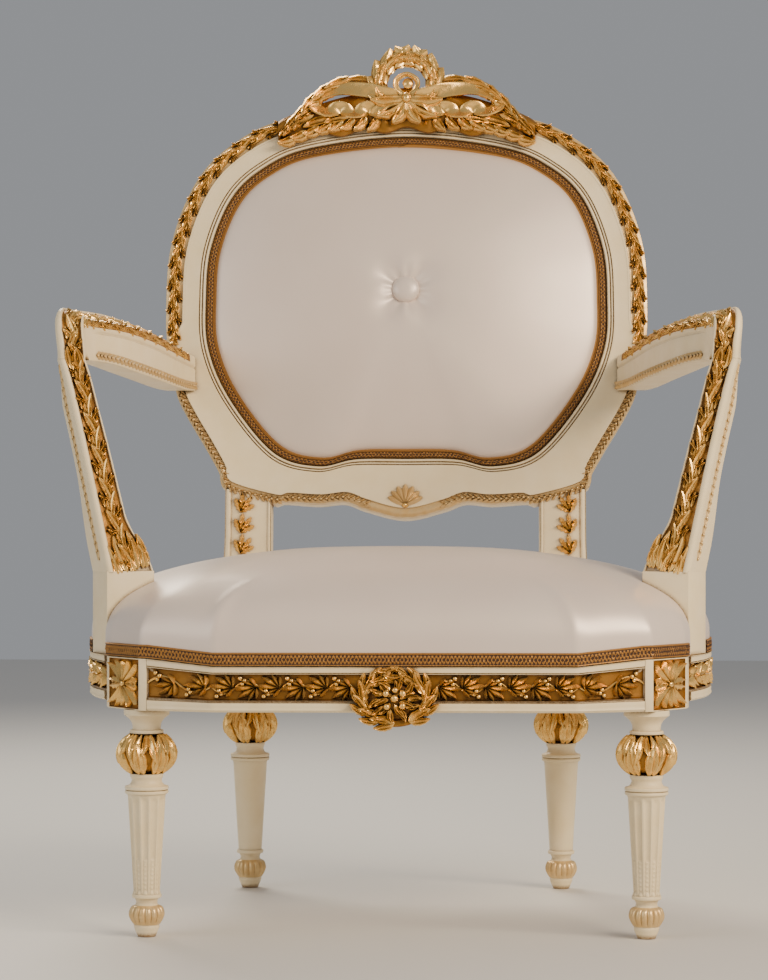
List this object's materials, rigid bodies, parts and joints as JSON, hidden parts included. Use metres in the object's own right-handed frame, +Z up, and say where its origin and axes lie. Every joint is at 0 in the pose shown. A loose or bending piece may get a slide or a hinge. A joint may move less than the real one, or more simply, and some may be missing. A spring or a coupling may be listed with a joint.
{
  "type": "throne armchair",
  "caption": "Carved throne armchair with an oval medallion back, raked arm supports, turned and fluted legs, and an upholstered satin seat and back.",
  "frame": {"origin": "on the floor, under the middle of the chair's bounding box", "axes": "+Z up, +X to the right of someone facing the chair, the seat faces -Y, and left and right in the node names are as seen by someone facing the chair"},
  "size_m": [0.8628, 0.6986, 1.175],
  "materials": {
    "painted_wood": "cream paint with gilded carving",
    "gilded_wood": "gold leaf over carved wood",
    "satin": "ivory satin",
    "braid": "woven bronze-gold gimp"
  },
  "bodies": {
    "root": {"front_leg_left": "painted_wood", "front_leg_right": "painted_wood", "back_leg_left": "painted_wood", "back_leg_right": "painted_wood", "front_rail": "painted_wood", "side_rail_left": "painted_wood", "side_rail_right": "painted_wood", "back_rail": "painted_wood", "front_cartouche": "gilded_wood", "arm_post_left": "painted_wood", "arm_post_right": "painted_wood", "arm_left": "painted_wood", "arm_right": "painted_wood", "back_frame": "painted_wood", "crest_ornament": "gilded_wood", "seat_cushion": "satin", "seat_gimp_front": "braid", "seat_gimp_side_left": "braid", "seat_gimp_side_right": "braid", "seat_gimp_back": "braid", "back_pad": "satin", "back_gimp": "braid", "back_button": "satin", "back_panel": "satin"}
  },
  "joints": []
}
